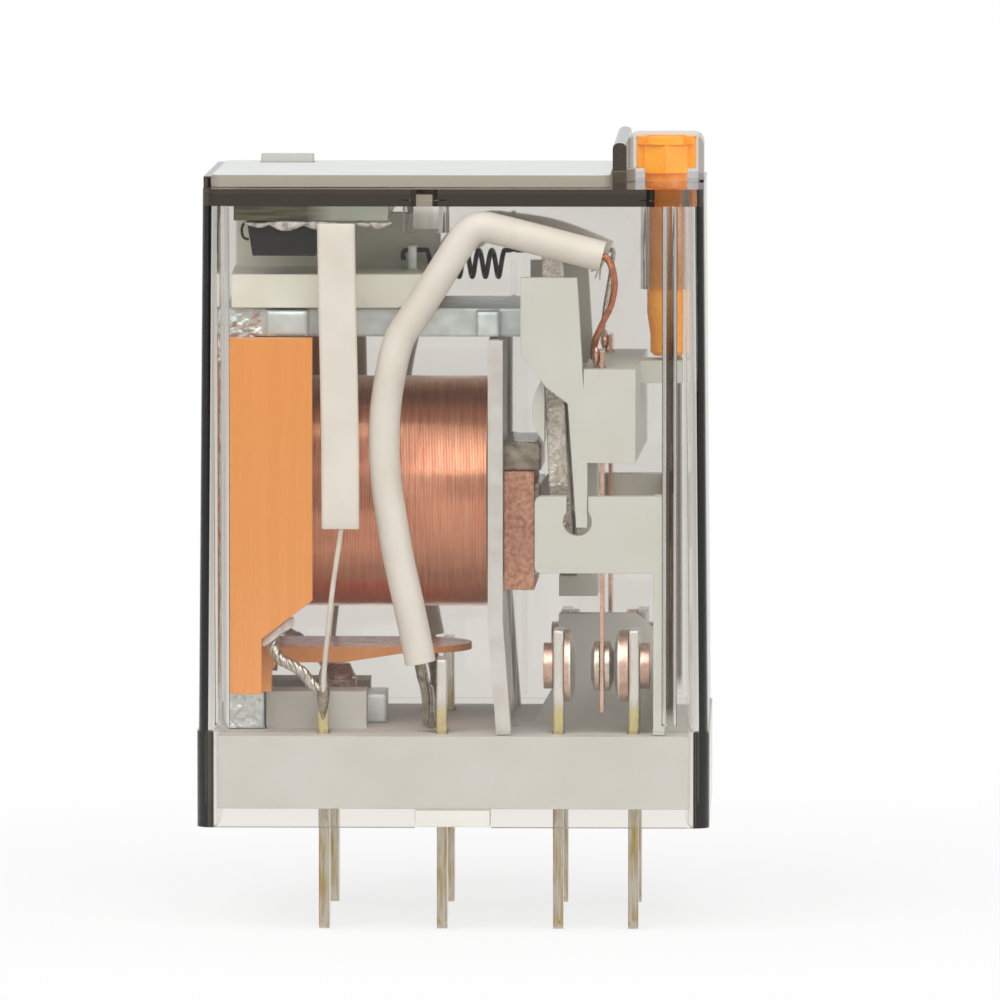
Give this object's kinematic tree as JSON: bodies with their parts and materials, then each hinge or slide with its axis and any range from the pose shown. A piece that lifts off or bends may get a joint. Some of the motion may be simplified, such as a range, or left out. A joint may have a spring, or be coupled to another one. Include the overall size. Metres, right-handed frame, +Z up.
{
  "type": "plug-in relay",
  "caption": "Plug-in electromagnetic relay in a clear case with flat plug blades, copper coil, swinging armature, changeover contacts, orange test button and indicator lens.",
  "frame": {"origin": "centre of the seating plane, the lower rim of the case", "axes": "X along the case from the coil to the contacts and test button, Y from the front blade row to the rear one, Z up away from the socket"},
  "size_m": [0.0276, 0.0208, 0.0429],
  "materials": {
    "clear_polycarbonate": "clear, slightly smoky",
    "clear_lens": "clear, milky",
    "white_label": "satin",
    "grey_plastic": "matt",
    "orange_button": "glossy",
    "orange_bobbin": "satin",
    "plated_blade": "tin plated",
    "contact_copper": "bright",
    "zinc_steel": "zinc plated",
    "bare_steel": "ground and sheared",
    "brown_rivet": "varnished",
    "ring_copper": "rough",
    "enamelled_copper": "enamelled",
    "spring_steel": "blackened",
    "lead_sheath": "soft",
    "tinned_strand": "tinned",
    "bare_copper_strand": "stranded",
    "board_laminate": "laminate",
    "black_component": "moulded",
    "cream_plastic": "matt"
  },
  "bodies": {
    "frame_and_case": {"base": "grey_plastic", "contact_frame": "grey_plastic", "cover": "clear_polycarbonate", "label_plate": "white_label", "indicator_lens": "clear_lens", "coil_pin_front": "plated_blade", "coil_pin_rear": "plated_blade", "common_pin_front": "plated_blade", "common_pin_rear": "plated_blade", "no_pin_front": "plated_blade", "no_pin_rear": "plated_blade", "nc_pin_front": "plated_blade", "nc_pin_rear": "plated_blade", "no_contact_front": "contact_copper", "no_contact_rear": "contact_copper", "nc_contact_front": "contact_copper", "nc_contact_rear": "contact_copper", "return_spring": "spring_steel", "yoke": "zinc_steel", "foot_rivet": "brown_rivet", "core": "bare_steel", "shading_ring": "ring_copper", "bobbin": "orange_bobbin", "winding_body": "enamelled_copper", "winding_turns": "enamelled_copper", "insulating_wall": "grey_plastic", "lead_front": "lead_sheath", "lead_rear": "lead_sheath", "lead_tail_front": "tinned_strand", "lead_tail_rear": "tinned_strand", "module_board": "board_laminate", "module_led": "clear_lens", "module_diode": "black_component", "module_bracket": "cream_plastic", "module_sleeve_front": "lead_sheath", "module_sleeve_rear": "lead_sheath", "module_wire_front": "tinned_strand", "module_wire_rear": "tinned_strand", "coil_lead_front": "tinned_strand", "coil_lead_rear": "tinned_strand"},
    "armature_set": {"armature": "bare_steel", "carrier": "grey_plastic", "leaf_spring_front": "contact_copper", "leaf_spring_rear": "contact_copper", "moving_contact_front": "contact_copper", "moving_contact_rear": "contact_copper", "pigtail_front": "bare_copper_strand", "pigtail_rear": "bare_copper_strand"},
    "button_slider": {"button_stem": "orange_button"},
    "button_turner": {"button_knob": "orange_button"}
  },
  "joints": [
    {"name": "armature_pivot", "type": "hinge", "parent": "frame_and_case", "child": "armature_set", "pos_m": [0.00382, 0, 0.02707], "axis": [0, 1, 0], "range_deg": [0, 2.5], "stiffness_Nm_per_rad": 0.0003, "springref_deg": -17.19, "deforming": ["return_spring"]},
    {"name": "test_button_push", "type": "slide", "parent": "frame_and_case", "child": "button_slider", "axis": [0, 0, -1], "range_m": [0, 0.0004]},
    {"name": "test_button_turn", "type": "hinge", "parent": "button_slider", "child": "button_turner", "pos_m": [0.01137, 0, 0.036], "axis": [0, 0, 1], "range_deg": [0, 90]}
  ],
  "couplings": [
    {"joint": "armature_pivot", "follows": "test_button_push", "rad_per_m": 109}
  ]
}
